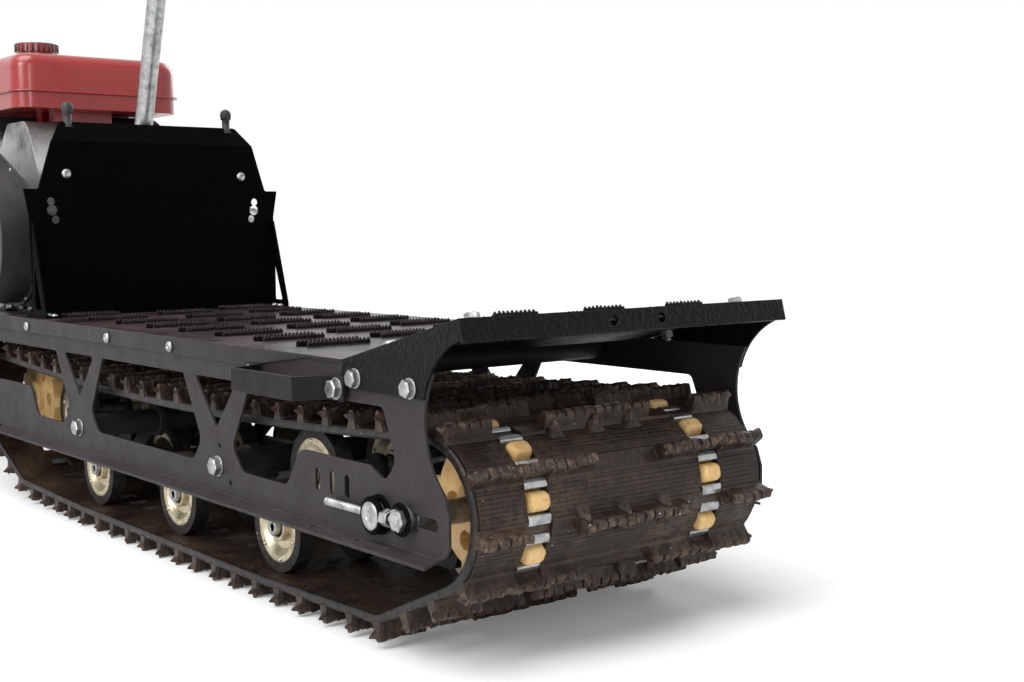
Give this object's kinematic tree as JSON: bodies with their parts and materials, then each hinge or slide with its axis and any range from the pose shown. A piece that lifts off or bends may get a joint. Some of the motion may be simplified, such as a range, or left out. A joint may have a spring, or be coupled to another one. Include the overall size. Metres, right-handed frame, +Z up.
{
  "type": "compact tracked snowmobile",
  "caption": "Compact snowmobile: open track unit of laser-cut plate with serrated deck, upright panel, engine ahead of it, raked handlebar and two steered skis.",
  "frame": {"origin": "on the ground, at the middle of the overall length and width", "axes": "+X to the rider's right, +Y forward towards the skis, +Z up"},
  "size_m": [0.72, 2.2402, 1.0363],
  "materials": {
    "frame_paint": "fine textured powder coat",
    "deck_paint": "gloss powder coat",
    "panel_paint": "satin powder coat",
    "track_rubber": "worn, dusty",
    "roller_rubber": "worn",
    "polyamide": "machined",
    "zinc": "zinc plated",
    "yellow_zinc": "yellow zinc plated",
    "shaft_steel": "turned",
    "cast_aluminium": "as cast",
    "engine_black": "gloss paint",
    "engine_red": "gloss paint",
    "exhaust": "heat-proof paint",
    "moulded_black": "grained",
    "grip_rubber": "moulded",
    "ski_plastic": "moulded",
    "lamp": "moulded"
  },
  "bodies": {
    "frame": {"track": "track_rubber", "rear_sprockets": "polyamide", "front_sprockets": "polyamide", "rear_shaft": "zinc", "front_shaft": "shaft_steel", "front_bearing": "cast_aluminium", "tensioners": "zinc", "roller_hubs": "yellow_zinc", "roller_tyres": "roller_rubber", "roller_axles": "zinc", "suspension_rails": "frame_paint", "suspension_arms": "frame_paint", "cross_tubes": "frame_paint", "side_plate_right": "frame_paint", "side_plate_left": "frame_paint", "deck": "deck_paint", "tail_bumper": "panel_paint", "step_loop_right": "frame_paint", "step_loop_left": "frame_paint", "upright_panel": "panel_paint", "panel_struts": "panel_paint", "chain_case": "cast_aluminium", "jackshaft": "shaft_steel", "jackshaft_stands": "frame_paint", "brake_disc": "shaft_steel", "brake_caliper": "cast_aluminium", "variator_guard": "moulded_black", "engine_cradle": "frame_paint", "engine_block": "cast_aluminium", "fan_housing": "engine_black", "fuel_tank": "engine_red", "air_filter": "moulded_black", "muffler": "exhaust", "ski_subframe": "frame_paint", "front_guard": "frame_paint", "headlamp": "lamp", "column_bracket": "frame_paint"},
    "steering": {"steering_column": "zinc", "handlebar": "panel_paint", "grips": "grip_rubber", "levers": "cast_aluminium"},
    "drag_link": {"drag_link": "zinc"},
    "tie_rod": {"tie_rod": "zinc"},
    "spindle_left": {"spindle_left": "frame_paint"},
    "spindle_right": {"spindle_right": "frame_paint"},
    "ski_left": {"ski_left": "ski_plastic", "ski_saddle_left": "zinc"},
    "ski_right": {"ski_right": "ski_plastic", "ski_saddle_right": "zinc"}
  },
  "joints": [
    {"name": "steer", "type": "hinge", "parent": "frame", "child": "steering", "pos_m": [0, 0.08506, 0.331], "axis": [0, -0.309, 0.9511], "range_deg": [-28, 28]},
    {"name": "spindle_left_turn", "type": "hinge", "parent": "frame", "child": "spindle_left", "pos_m": [-0.3, 0.53406, 0.254], "axis": [0, -0.309, 0.9511], "range_deg": [-28, 28]},
    {"name": "spindle_right_turn", "type": "hinge", "parent": "frame", "child": "spindle_right", "pos_m": [0.3, 0.53406, 0.254], "axis": [0, -0.309, 0.9511], "range_deg": [-28, 28]},
    {"name": "drag_link_pivot", "type": "hinge", "parent": "steering", "child": "drag_link", "pos_m": [0.07, 0.08506, 0.331], "axis": [0, -0.309, 0.9511], "range_deg": [-28, 28]},
    {"name": "tie_rod_pivot", "type": "hinge", "parent": "spindle_left", "child": "tie_rod", "pos_m": [-0.3, 0.48294, 0.18482], "axis": [0, -0.309, 0.9511], "range_deg": [-28, 28]},
    {"name": "ski_left_pitch", "type": "hinge", "parent": "spindle_left", "child": "ski_left", "pos_m": [-0.3, 0.60035, 0.05], "axis": [1, 0, 0], "range_deg": [-12, 20]},
    {"name": "ski_right_pitch", "type": "hinge", "parent": "spindle_right", "child": "ski_right", "pos_m": [0.3, 0.60035, 0.05], "axis": [1, 0, 0], "range_deg": [-12, 20]}
  ],
  "couplings": [
    {"joint": "spindle_left_turn", "follows": "steer", "ratio": 1},
    {"joint": "spindle_right_turn", "follows": "steer", "ratio": 1},
    {"joint": "drag_link_pivot", "follows": "steer", "ratio": -1},
    {"joint": "tie_rod_pivot", "follows": "steer", "ratio": -1}
  ]
}
